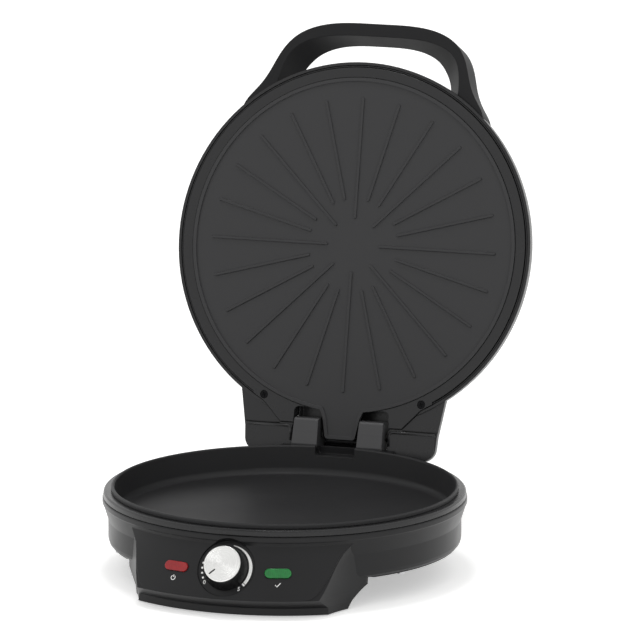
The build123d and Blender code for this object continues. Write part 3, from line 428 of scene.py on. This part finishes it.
class GriddleSizes(bpy.types.PropertyGroup):
    """Sizes of the details that are added to the solids."""
    dial_print: length_property("Dial print radius", 21.8, "Radius of the marks round the knob")
    print_lift: length_property("Print thickness", 0.06, "How far the print stands on the panel")
    rib_count: bpy.props.IntProperty(name="Knob ribs", default=72, min=12,
                                     description="Grip ribs round the knob")
    rib_width: length_property("Rib width", 0.7, "Width of a grip rib")
    rib_height: length_property("Rib height", 0.25, "How far a grip rib stands out")


class GriddleStudio(bpy.types.PropertyGroup):
    """Camera and lights."""
    tent: number_property("Tent", 0.85, "Light that the tent gives all round")
    tent_top: number_property("Tent opening", 0.3, "Brightness of its front opening")
    lens: number_property("Focal length", 450.0, "Camera lens in millimetres")
    azimuth: number_property("Azimuth", math.radians(17.23), subtype="ANGLE",
                             text="Camera's turn round the griddle from the front")
    elevation: number_property("Elevation", math.radians(12.15), subtype="ANGLE",
                               text="Camera's height as an angle")
    distance: length_property("Distance", 7113.6, "Camera to the point that it looks at")
    key: number_property("Key light", 13.0, "Power of the key light", unit="POWER")
    fill: number_property("Fill light", 1.6, "Power of the fill light", unit="POWER")
    rim: number_property("Rim light", 0.6, "Power of the rim lights", unit="POWER")


# ---------------------------------------------------------------- operators
class GRIDDLE_OT_stage(bpy.types.Operator):
    """Floor, world, lights and camera"""
    bl_idname = "griddle.stage"
    bl_label = "Studio"

    def execute(self, context):
        context.scene.view_settings.view_transform = "Standard"
        studio = context.scene.griddle_studio
        self.air(context.scene, studio)
        self.floor()
        self.lamps(studio)
        self.camera(context.scene, studio)
        return {"FINISHED"}

    def seen(self, tree, rays):
        """1 for rays from the camera, and for those that a gloss or a lens sends on."""
        sent_on = maths(tree, "MAXIMUM", rays["Is Glossy Ray"], rays["Is Transmission Ray"])
        return maths(tree, "MAXIMUM", rays["Is Camera Ray"], sent_on)

    def air(self, scene, studio):
        """White air; reflections show a darker opening in the tent, over the front of the table."""
        scene.world = bpy.data.worlds.new("studio_air")
        scene.world.use_nodes = True
        tree = scene.world.node_tree
        tree.nodes.clear()
        rays = add_node(tree, "ShaderNodeLightPath").outputs
        way = add_node(tree, "ShaderNodeTexCoord").outputs["Generated"]
        opening = (-0.09, -0.296, 0.951)
        near = add_node(tree, "ShaderNodeVectorMath", {"operation": "DOT_PRODUCT"}, in0=way,
                        in1=opening)
        # cosines of the angles from the opening's middle at which it ends and is darkest
        ends, darkest = 0.89, 0.99
        fade = add_node(tree, "ShaderNodeMapRange", {"interpolation_type": "SMOOTHSTEP"},
                        Value=near.outputs["Value"], in1=ends, in2=darkest, in3=1.0,
                        in4=studio.tent_top)
        bright = maths(tree, "MAXIMUM", rays["Is Camera Ray"], fade.outputs[0])
        light = add_node(tree, "ShaderNodeBackground", Color=(1, 1, 1, 1), Strength=studio.tent)
        white = add_node(tree, "ShaderNodeBackground", Color=(1, 1, 1, 1), Strength=bright)
        mix = add_node(tree, "ShaderNodeMixShader", in0=self.seen(tree, rays),
                       in1=light.outputs[0], in2=white.outputs[0])
        add_node(tree, "ShaderNodeOutputWorld", Surface=mix.outputs[0])

    def floor(self):
        """Pale floor; seen or mirrored, it is white with the griddle's soft shadow on it."""
        mesh = bpy.data.meshes.new("floor")
        half = 6.0
        corners = [(-half, -half, 0), (half, -half, 0), (half, half, 0), (-half, half, 0)]
        mesh.from_pydata(corners, [], [(0, 1, 2, 3)])
        floor = add_object("floor", mesh)
        material, tree, shader = new_material("pale_floor")
        seen = self.seen(tree, add_node(tree, "ShaderNodeLightPath").outputs)
        # brings the lit floor up to white
        lift = 0.42
        plug(tree, shader, Base_Color=hex_rgb("#f6f6f5"), Roughness=0.9, Specular_IOR_Level=0.1,
             Emission_Color=(1, 1, 1, 1), Emission_Strength=maths(tree, "MULTIPLY", seen, lift))
        mesh.materials.append(material)
        floor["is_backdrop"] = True

    def lamps(self, studio):
        """A key over the griddle, a fill from the front, and a rim light at each side."""
        low, high = (Vector(v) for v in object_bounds())
        middle = (low + high) / 2
        for name, spot, size, power in (
            ("key", (-0.2, 0.1, 3.0), 0.45, studio.key),
            ("fill", (-0.6, -1.9, 2.6), 0.4, studio.fill),
            ("rim_left", (-2.4, 0.9, 0.8), 1.0, studio.rim),
            ("rim_right", (2.4, 1.0, 0.8), 1.0, studio.rim),
        ):
            data = bpy.data.lights.new(name, "AREA")
            data.shape = "SQUARE"
            data.size = size
            data.energy = power
            lamp = add_object(name, data)
            lamp.matrix_world = place_at(Vector(spot), Vector(spot) - middle)

    def camera(self, scene, studio):
        """Long lens at the photograph's angle; aim is the middle of its view."""
        data = bpy.data.cameras.new("camera")
        data.lens = studio.lens
        data.sensor_width = 36.0
        data.clip_end = 50.0
        scene.camera = add_object("camera", data)
        level = math.cos(studio.elevation)
        back = Vector((math.sin(studio.azimuth) * level, -math.cos(studio.azimuth) * level,
                       math.sin(studio.elevation)))
        aim = Vector((0.0026, PAN_Y + 0.0962, 0.2052))
        scene.camera.matrix_world = place_at(aim + back * studio.distance, back)


class GRIDDLE_OT_housings(bpy.types.Operator):
    """Moulded housings, frame, ring, handle and covers"""
    bl_idname = "griddle.housings"
    bl_label = "Housings"

    def execute(self, context):
        finish = context.scene.griddle_finish
        shell = moulded_plastic("moulded_nylon_black", finish.housing, 0.32, ior=1.32)
        dress(shell, "base_housing", "bottom_cover", "foot_cover")
        dress(moulded_plastic("moulded_grip_black", finish.housing, 0.5, ior=1.25), "lid_handle")
        cover = moulded_plastic("moulded_cover_black", finish.cover, 0.27)
        dress(cover, "lid_shell", "lid_frame", "lower_rim_ring")
        arm = moulded_plastic("moulded_nylon_grey", finish.arm, 0.34)
        dress(arm, "hinge_arm_left", "hinge_arm_right")
        dress(matt_rubber_and_painted_shade("moulded_rubber", "#1c1c1c"), "rubber_feet")
        return {"FINISHED"}


class GRIDDLE_OT_plates(bpy.types.Operator):
    """Non-stick pan and plate"""
    bl_idname = "griddle.plates"
    bl_label = "Pan and plate"

    def execute(self, context):
        finish = context.scene.griddle_finish
        dress(non_stick("non_stick_coating_grey", finish.plate, 0.45), "upper_plate")
        dress(non_stick("non_stick_coating_black", finish.pan, 0.5), "lower_pan")
        return {"FINISHED"}


class GRIDDLE_OT_metalwork(bpy.types.Operator):
    """Heaters, reflectors, pins and screws, with the thermostat, the lamps and the bushes"""
    bl_idname = "griddle.metalwork"
    bl_label = "Metalwork"

    def execute(self, context):
        steel = plain_metal("zinc_plated_steel", "#b9b9bb", 0.32)
        dress(steel, "thermostat_bracket", "thermostat_shaft", "cover_screws")
        pin = plain_metal("phosphated_steel", "#2e2d2c", 0.4)
        dress(pin, "hinge_pin_left", "hinge_pin_right")
        sheath = plain_metal("oxidised_heater_sheath", "#5d5650", 0.42)
        dress(sheath, "lower_element", "upper_element")
        sheet = plain_metal("mill_finish_aluminium", "#d2d3d4", 0.24)
        dress(sheet, "lower_reflector", "upper_reflector")
        body = moulded_plastic("phenolic_resin_cream", "#b9ae98", 0.55)
        dress(body, "thermostat", "power_lamp", "ready_lamp")
        bush = moulded_plastic("acetal_black", "#101011", 0.4)
        dress(bush, "lid_bush_left", "lid_bush_right")
        return {"FINISHED"}


class GRIDDLE_OT_controls(bpy.types.Operator):
    """Knob and lenses"""
    bl_idname = "griddle.controls"
    bl_label = "Controls"

    def execute(self, context):
        finish = context.scene.griddle_finish
        dress(moulded_plastic("moulded_abs_black", "#141415", 0.3), "knob_skirt")
        dress(spun_aluminium("spun_aluminium", finish.cap, DIAL_POINT, DIAL_OUT), "knob_cap")
        dress(tinted_lens("polycarbonate_red", finish.red, "#7d0f14"), "power_lens")
        dress(tinted_lens("polycarbonate_green", finish.green, "#0b5a28"), "ready_lens")
        return {"FINISHED"}


class GRIDDLE_OT_dial_print(bpy.types.Operator):
    """Marks printed round the knob and under the lenses"""
    bl_idname = "griddle.dial_print"
    bl_label = "Print"

    def execute(self, context):
        sizes = context.scene.griddle_sizes
        ink = pad_print("pad_print_white", context.scene.griddle_finish.print_white)
        marks = bmesh.new()
        self.band(marks, sizes.dial_print)
        for angle in (205.0, 193.0, 181.0, 169.0):
            spot = Matrix.Translation(turned(angle, sizes.dial_print))
            bmesh.ops.create_circle(marks, cap_ends=True, segments=20, radius=0.95 * MM,
                                    matrix=spot)
        for text, angle in (("0", 217.0), ("5", -51.0)):
            spot = Matrix.Translation(turned(angle, sizes.dial_print + 0.4 * MM))
            self.write(marks, text, 5.0 * MM, spot)
        place = place_at(DIAL_POINT, DIAL_OUT)
        self.printed(marks, "dial_print", place, sizes.print_lift, ink)

        # a plain power sign and a tick, this far under the middles of the lenses
        drop = 7.6 * MM
        for lens, name, draw in (("power_lens", "power_sign", self.power),
                                 ("ready_lens", "ready_sign", self.tick)):
            low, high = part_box(lens)
            middle = (low + high) / 2
            level = middle.z - drop
            round_it = Vector((middle.x, middle.y - PAN_Y, 0)).normalized()
            reach = PANEL_R + (PANEL_Z - level) * PANEL_FLARE
            spot = Vector((0, PAN_Y, level)) + round_it * reach
            outward = round_it * -DIAL_OUT.y
            outward.z = DIAL_OUT.z
            sign = bmesh.new()
            draw(sign)
            self.printed(sign, name, place_at(spot, outward), sizes.print_lift, ink)
        return {"FINISHED"}

    def band(self, marks, ring):
        """Adds a band that swells clockwise, with a gap before its last stretch."""
        # degrees where it starts and over which it swells; half its width there, and what it gains
        start, swell, thin, gain = 82.0, 70.0, 0.3 * MM, 1.15 * MM
        for first, last in ((start, -33.0), (-34.5, -39.0)):
            steps = max(2, int(abs(last - first) / 3))
            inner, outer = [], []
            for i in range(steps + 1):
                angle = first + (last - first) * i / steps
                half = thin + gain * min(1.0, (start - angle) / swell)
                inner.append(marks.verts.new(turned(angle, ring - half)))
                outer.append(marks.verts.new(turned(angle, ring + half)))
            for i in range(steps):
                marks.faces.new((outer[i], inner[i], inner[i + 1], outer[i + 1]))

    def write(self, marks, text, size, place):
        """Adds a numeral, its middle at the origin of place."""
        curve = bpy.data.curves.new("numeral", "FONT")
        curve.body = text
        curve.size = size
        curve.align_x = "CENTER"
        curve.align_y = "CENTER"
        curve.offset = size * 0.02
        mesh = frozen(add_object("numeral", curve))
        mesh.transform(place)
        marks.from_mesh(mesh)
        bpy.data.meshes.remove(mesh)

    def stroke(self, marks, points, half):
        """Adds a line of even width through points."""
        pairs = []
        for i, point in enumerate(points):
            along = (points[min(i + 1, len(points) - 1)] - points[max(i - 1, 0)]).normalized()
            side = Vector((-along.y, along.x, 0)) * half
            pairs.append((marks.verts.new(point + side), marks.verts.new(point - side)))
        for a, b in zip(pairs, pairs[1:]):
            marks.faces.new((a[0], a[1], b[1], b[0]))

    def power(self, marks):
        """An open ring with a bar through its gap."""
        half = 0.3 * MM
        self.stroke(marks, [turned(120 + 300 * i / 24, 2.0 * MM) for i in range(25)], half)
        self.stroke(marks, [Vector((0, y, 0)) * MM for y in (0.4, 2.7)], half)

    def tick(self, marks):
        """A tick."""
        corners = ((-2.2, 0.1), (-0.7, -1.5), (2.4, 1.9))
        self.stroke(marks, [Vector((x, y, 0)) * MM for x, y in corners], 0.34 * MM)

    def printed(self, marks, name, place, lift, ink):
        """Turns flat marks into a thin printed piece on the base."""
        bmesh.ops.recalc_face_normals(marks, faces=marks.faces)
        for face in marks.faces:
            if face.normal.z < 0:
                face.normal_flip()
        top = bmesh.ops.extrude_face_region(marks, geom=list(marks.faces))
        raised = [v for v in top["geom"] if isinstance(v, bmesh.types.BMVert)]
        bmesh.ops.translate(marks, verts=raised, vec=(0, 0, lift))
        bmesh.ops.recalc_face_normals(marks, faces=marks.faces)
        mesh = mesh_from(marks, name)
        mesh.transform(place)
        mesh_piece(name, mesh, "base", ink)


class GRIDDLE_OT_knob_grip(bpy.types.Operator):
    """Fine ribs round the knob, and the paint in its pointer"""
    bl_idname = "griddle.knob_grip"
    bl_label = "Knob grip"

    def execute(self, context):
        black = bpy.data.materials["moulded_abs_black"]
        self.ribs(context.scene.griddle_sizes, black)
        self.paint(black)
        return {"FINISHED"}

    def ribs(self, sizes, black):
        """Blocks round the skirt, leaning with it and half sunk in it."""
        tree, given = new_group("knob_ribs", Count="Int", Radius="Float", Width="Float",
                                Height="Float", Length="Float", Lean="Float", Finish="Material")
        doubled = maths(tree, "MULTIPLY", given["Height"], 2.0)
        block = add_node(tree, "ShaderNodeCombineXYZ", X=doubled, Y=given["Width"],
                         Z=given["Length"])
        rib = add_node(tree, "GeometryNodeMeshCube", Size=block.outputs[0])
        lean = add_node(tree, "ShaderNodeCombineXYZ", Y=given["Lean"])
        leaning = add_node(tree, "GeometryNodeTransform", Geometry=rib.outputs["Mesh"],
                           Rotation=lean.outputs[0])
        circle = add_node(tree, "GeometryNodeMeshCircle", Vertices=given["Count"],
                          Radius=given["Radius"])
        index = add_node(tree, "GeometryNodeInputIndex").outputs[0]
        turn = maths(tree, "MULTIPLY", index, maths(tree, "DIVIDE", math.tau, given["Count"]))
        about = add_node(tree, "ShaderNodeCombineXYZ", Z=turn)
        ribs = add_node(tree, "GeometryNodeInstanceOnPoints", Points=circle.outputs[0],
                        Instance=leaning.outputs[0], Rotation=about.outputs[0])
        close_group(tree, ribs.outputs[0], given["Finish"])
        # the ribs stop a little short of both ends of the skirt
        mesh = grown(tree, {
            "Count": sizes.rib_count, "Radius": (SKIRT_FOOT_R + SKIRT_CAP_R) / 2,
            "Width": sizes.rib_width, "Height": sizes.rib_height, "Length": SKIRT_H - 1.2 * MM,
            "Lean": -math.atan((SKIRT_FOOT_R - SKIRT_CAP_R) / SKIRT_H), "Finish": black,
        })
        mesh.transform(place_at(DIAL_POINT + DIAL_OUT * (SKIRT_LIFT + SKIRT_H / 2), DIAL_OUT))
        mesh_piece("knob_ribs", mesh, "knob", black)

    def paint(self, black):
        """Dark paint in the cap's groove, which points at the first mark."""
        shape = bmesh.new()
        outline = []
        for side in (1, -1):
            end = Vector((side * (GROOVE_HALF_L - GROOVE_HALF_W), 0, 0))
            outline += [end + turned(side * 90 - 180 * i / 8, GROOVE_HALF_W) for i in range(9)]
        face = shape.faces.new([shape.verts.new(v) for v in outline])
        shape.normal_update()
        if face.normal.z < 0:
            face.normal_flip()
        mesh = mesh_from(shape, "pointer_paint")
        turn = Matrix.Rotation(GROOVE_TURN, 4, "Z") @ Matrix.Translation((GROOVE_OFF, 0, 0))
        mesh.transform(place_at(DIAL_POINT + DIAL_OUT * GROOVE_FLOOR, DIAL_OUT) @ turn)
        mesh_piece("pointer_paint", mesh, "knob", black)


class GRIDDLE_OT_screw_heads(bpy.types.Operator):
    """Cross-recessed heads of the two screws in the lid's frame"""
    bl_idname = "griddle.screw_heads"
    bl_label = "Screw heads"

    def execute(self, context):
        tree, given = new_group("cross_head", Radius="Float", Length="Float", Apart="Float",
                                Slot="Float", Finish="Material")
        head = add_node(tree, "GeometryNodeMeshCylinder", Vertices=40, Radius=given["Radius"],
                        Depth=given["Length"])
        # two bars, joined and raised, cut the cross recess
        long = maths(tree, "MULTIPLY", given["Radius"], 1.25)
        joined = add_node(tree, "GeometryNodeMeshBoolean", {"operation": "UNION"})
        for x, y in ((long, given["Slot"]), (given["Slot"], long)):
            size = add_node(tree, "ShaderNodeCombineXYZ", X=x, Y=y, Z=given["Length"])
            bar = add_node(tree, "GeometryNodeMeshCube", Size=size.outputs[0])
            tree.links.new(bar.outputs["Mesh"], joined.inputs["Mesh"])
        up = maths(tree, "MULTIPLY", given["Length"], 0.6)
        lift = add_node(tree, "ShaderNodeCombineXYZ", Z=up)
        raised = add_node(tree, "GeometryNodeTransform", Geometry=joined.outputs["Mesh"],
                          Translation=lift.outputs[0], Rotation=(0, 0, math.radians(20)))
        cut = add_node(tree, "GeometryNodeMeshBoolean", {"operation": "DIFFERENCE"})
        tree.links.new(head.outputs["Mesh"], cut.inputs["Mesh 1"])
        tree.links.new(raised.outputs[0], cut.inputs["Mesh 2"])
        apart = add_node(tree, "ShaderNodeCombineXYZ", X=given["Apart"])
        start = add_node(tree, "ShaderNodeVectorMath", {"operation": "SCALE"},
                         in0=apart.outputs[0], Scale=-0.5)
        points = add_node(tree, "GeometryNodeMeshLine", {"mode": "OFFSET"}, Count=2,
                          Start_Location=start.outputs[0], Offset=apart.outputs[0])
        heads = add_node(tree, "GeometryNodeInstanceOnPoints", Points=points.outputs[0],
                         Instance=cut.outputs["Mesh"])
        close_group(tree, heads.outputs[0], given["Finish"])

        low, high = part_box("frame_screws")
        steel = plain_metal("black_oxide_steel", "#1c1c1d", 0.34)
        mesh = grown(tree, {"Radius": HEAD_R, "Length": HEAD_L, "Slot": 0.9 * MM,
                            "Apart": high.x - low.x - 2 * HEAD_R, "Finish": steel})
        mesh.transform(place_at((low + high) / 2, LID_OUT))
        heads = mesh_piece("screw_heads", mesh, "lid", steel)
        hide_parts("frame_screws")
        return {"FINISHED"}


class GRIDDLE_OT_hinge_details(bpy.types.Operator):
    """Hood, bar and block edges of the hinge, strips of painted shade above the blocks, and the
    trim in the lid's groove
    """
    bl_idname = "griddle.hinge_details"
    bl_label = "Hinge details"

    def execute(self, context):
        black = bpy.data.materials["moulded_cover_black"]
        # three frames with X to the right, Y up the lid and Z out of its face
        axis = Matrix(((1, 0, 0), LID_UP, LID_OUT)).transposed().to_4x4()
        axis.translation = HINGE
        face = axis.copy()
        face.translation = HINGE + LID_OUT * PLATE_OUT
        centre = face.copy()
        centre.translation = face.translation + LID_UP * PLATE_UP
        self.hood(axis, black)
        self.bar(black)
        self.blocks(face, black)
        self.trim(centre, black)
        return {"FINISHED"}

    def hood(self, axis, black):
        """Wraps round the back of both arms, a millimetre outside the corners that turn in it."""
        half, radius, top, front = 44.9 * MM, 20.0 * MM, 24.4 * MM, -9.25 * MM
        side = [(top, -19.6 * MM), (6.0 * MM, -radius)]
        side += [turned(-90 - angle, radius).xy for angle in range(0, 63, 6)]
        shell = bmesh.new()
        rows = [[shell.verts.new((x, u, n)) for u, n in side] for x in (-half, half)]
        for i in range(len(side) - 1):
            shell.faces.new((rows[0][i], rows[0][i + 1], rows[1][i + 1], rows[1][i]))
        for row, x in zip(rows, (-half, half)):
            cheek = row + [shell.verts.new((x, u, front)) for u in (side[-1][0], top)]
            shell.faces.new(cheek if x > 0 else cheek[::-1])
        bmesh.ops.recalc_face_normals(shell, faces=shell.faces)
        back = min(shell.faces, key=lambda f: f.calc_center_median().z)
        if back.normal.z > 0:
            bmesh.ops.reverse_faces(shell, faces=shell.faces)
        self.made(shell, "hinge_hood", axis, "lid", black, thickness=1.5 * MM)

    def bar(self, black):
        """Between the arms, behind the tongue's path."""
        shape = bmesh.new()
        bmesh.ops.create_cone(shape, cap_ends=True, segments=28, radius1=1.6 * MM,
                              radius2=1.6 * MM, depth=38 * MM,
                              matrix=Matrix.Rotation(math.pi / 2, 4, "Y"))
        place = Matrix.Translation(HINGE + Vector((0, 9.0, -8.4)) * MM)
        self.made(shape, "hinge_bar", place, "base", black)

    def blocks(self, face, black):
        """The rounded upper and inner edge of each hinge block, and a thin near-black strip of
        painted shade above it, standing for the shadow in the groove there.
        """
        # painted shade: matt near-black for the strip that stands for the groove's shadow above
        # each block
        dark = matt_rubber_and_painted_shade("silicone_seal_black", "#0b0b0b")
        edge = [(88.8, 4.9), (50.0, 4.9), (47.2, 4.1), (46.2, 1.6), (46.0, -8.0)]
        for name, side in (("left", -1), ("right", 1)):
            path = [Vector((side * x, u, 0.8)) * MM for x, u in edge]
            ridge = tube(path, 1.5 * MM, 1.5 * MM)
            self.made(ridge, "block_ridge_" + name, face, "lid", black, smooth=True)
            # painted shade: a dark strip just above the ridge, where the groove's shadow falls
            path = [Vector((side * x, 7.0, -0.7)) * MM for x in (90.0, 58.0)]
            shade_strip = tube(path, 0.6 * MM, 0.55 * MM)
            self.made(shade_strip, "block_joint_" + name, face, "lid", dark, smooth=True)

    def trim(self, centre, black):
        """A half-round bead in the groove between the lid's rim and its inner frame."""
        first, sweep, steps = -61.5, 303.0, 160
        path = [turned(first + sweep * i / steps, 161.5 * MM, -2.0 * MM) for i in range(steps + 1)]
        self.made(tube(path, 1.05 * MM, 1.5 * MM), "lid_trim", centre, "lid", black, smooth=True)

    def made(self, shape, name, place, body, material, thickness=0.0, smooth=False):
        """Turns a bmesh into a piece, with walls of the given thickness grown inwards."""
        mesh = mesh_from(shape, name)
        if thickness:
            holder = add_object(name, mesh)
            walls = holder.modifiers.new("walls", "SOLIDIFY")
            walls.thickness = thickness
            walls.offset = -1.0
            walls.use_even_offset = True
            thick = frozen(holder)
            bpy.data.meshes.remove(mesh)
            mesh = thick
        mesh.transform(place)
        if smooth:
            mesh.shade_smooth()
        mesh_piece(name, mesh, body, material)


class GRIDDLE_PT_panel(bpy.types.Panel):
    """Lists the griddle's operators and properties"""
    bl_label = "Griddle"
    bl_space_type = "VIEW_3D"
    bl_region_type = "UI"
    bl_category = "Griddle"

    def draw(self, context):
        for kind in OPERATORS:
            self.layout.operator(kind.bl_idname)
        for name in GROUPS:
            group = getattr(context.scene, name)
            for key in group.bl_rna.properties.keys():
                if key not in ("rna_type", "name"):
                    self.layout.prop(group, key)


OPERATORS = (
    GRIDDLE_OT_stage, GRIDDLE_OT_housings, GRIDDLE_OT_plates, GRIDDLE_OT_metalwork,
    GRIDDLE_OT_controls, GRIDDLE_OT_dial_print, GRIDDLE_OT_knob_grip, GRIDDLE_OT_screw_heads,
    GRIDDLE_OT_hinge_details,
)
GROUPS = {
    "griddle_finish": GriddleFinish, "griddle_sizes": GriddleSizes,
    "griddle_studio": GriddleStudio,
}


def register():
    for kind in (*GROUPS.values(), *OPERATORS, GRIDDLE_PT_panel):
        bpy.utils.register_class(kind)
    for name, kind in GROUPS.items():
        setattr(bpy.types.Scene, name, bpy.props.PointerProperty(type=kind))


def unregister():
    for name in GROUPS:
        delattr(bpy.types.Scene, name)
    for kind in (GRIDDLE_PT_panel, *reversed(OPERATORS), *reversed(GROUPS.values())):
        bpy.utils.unregister_class(kind)


def main():
    """Makes every piece in order."""
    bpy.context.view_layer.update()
    register()
    for kind in OPERATORS:
        group, name = kind.bl_idname.split(".")
        getattr(getattr(bpy.ops, group), name)()


if __name__ == "__main__":
    main()
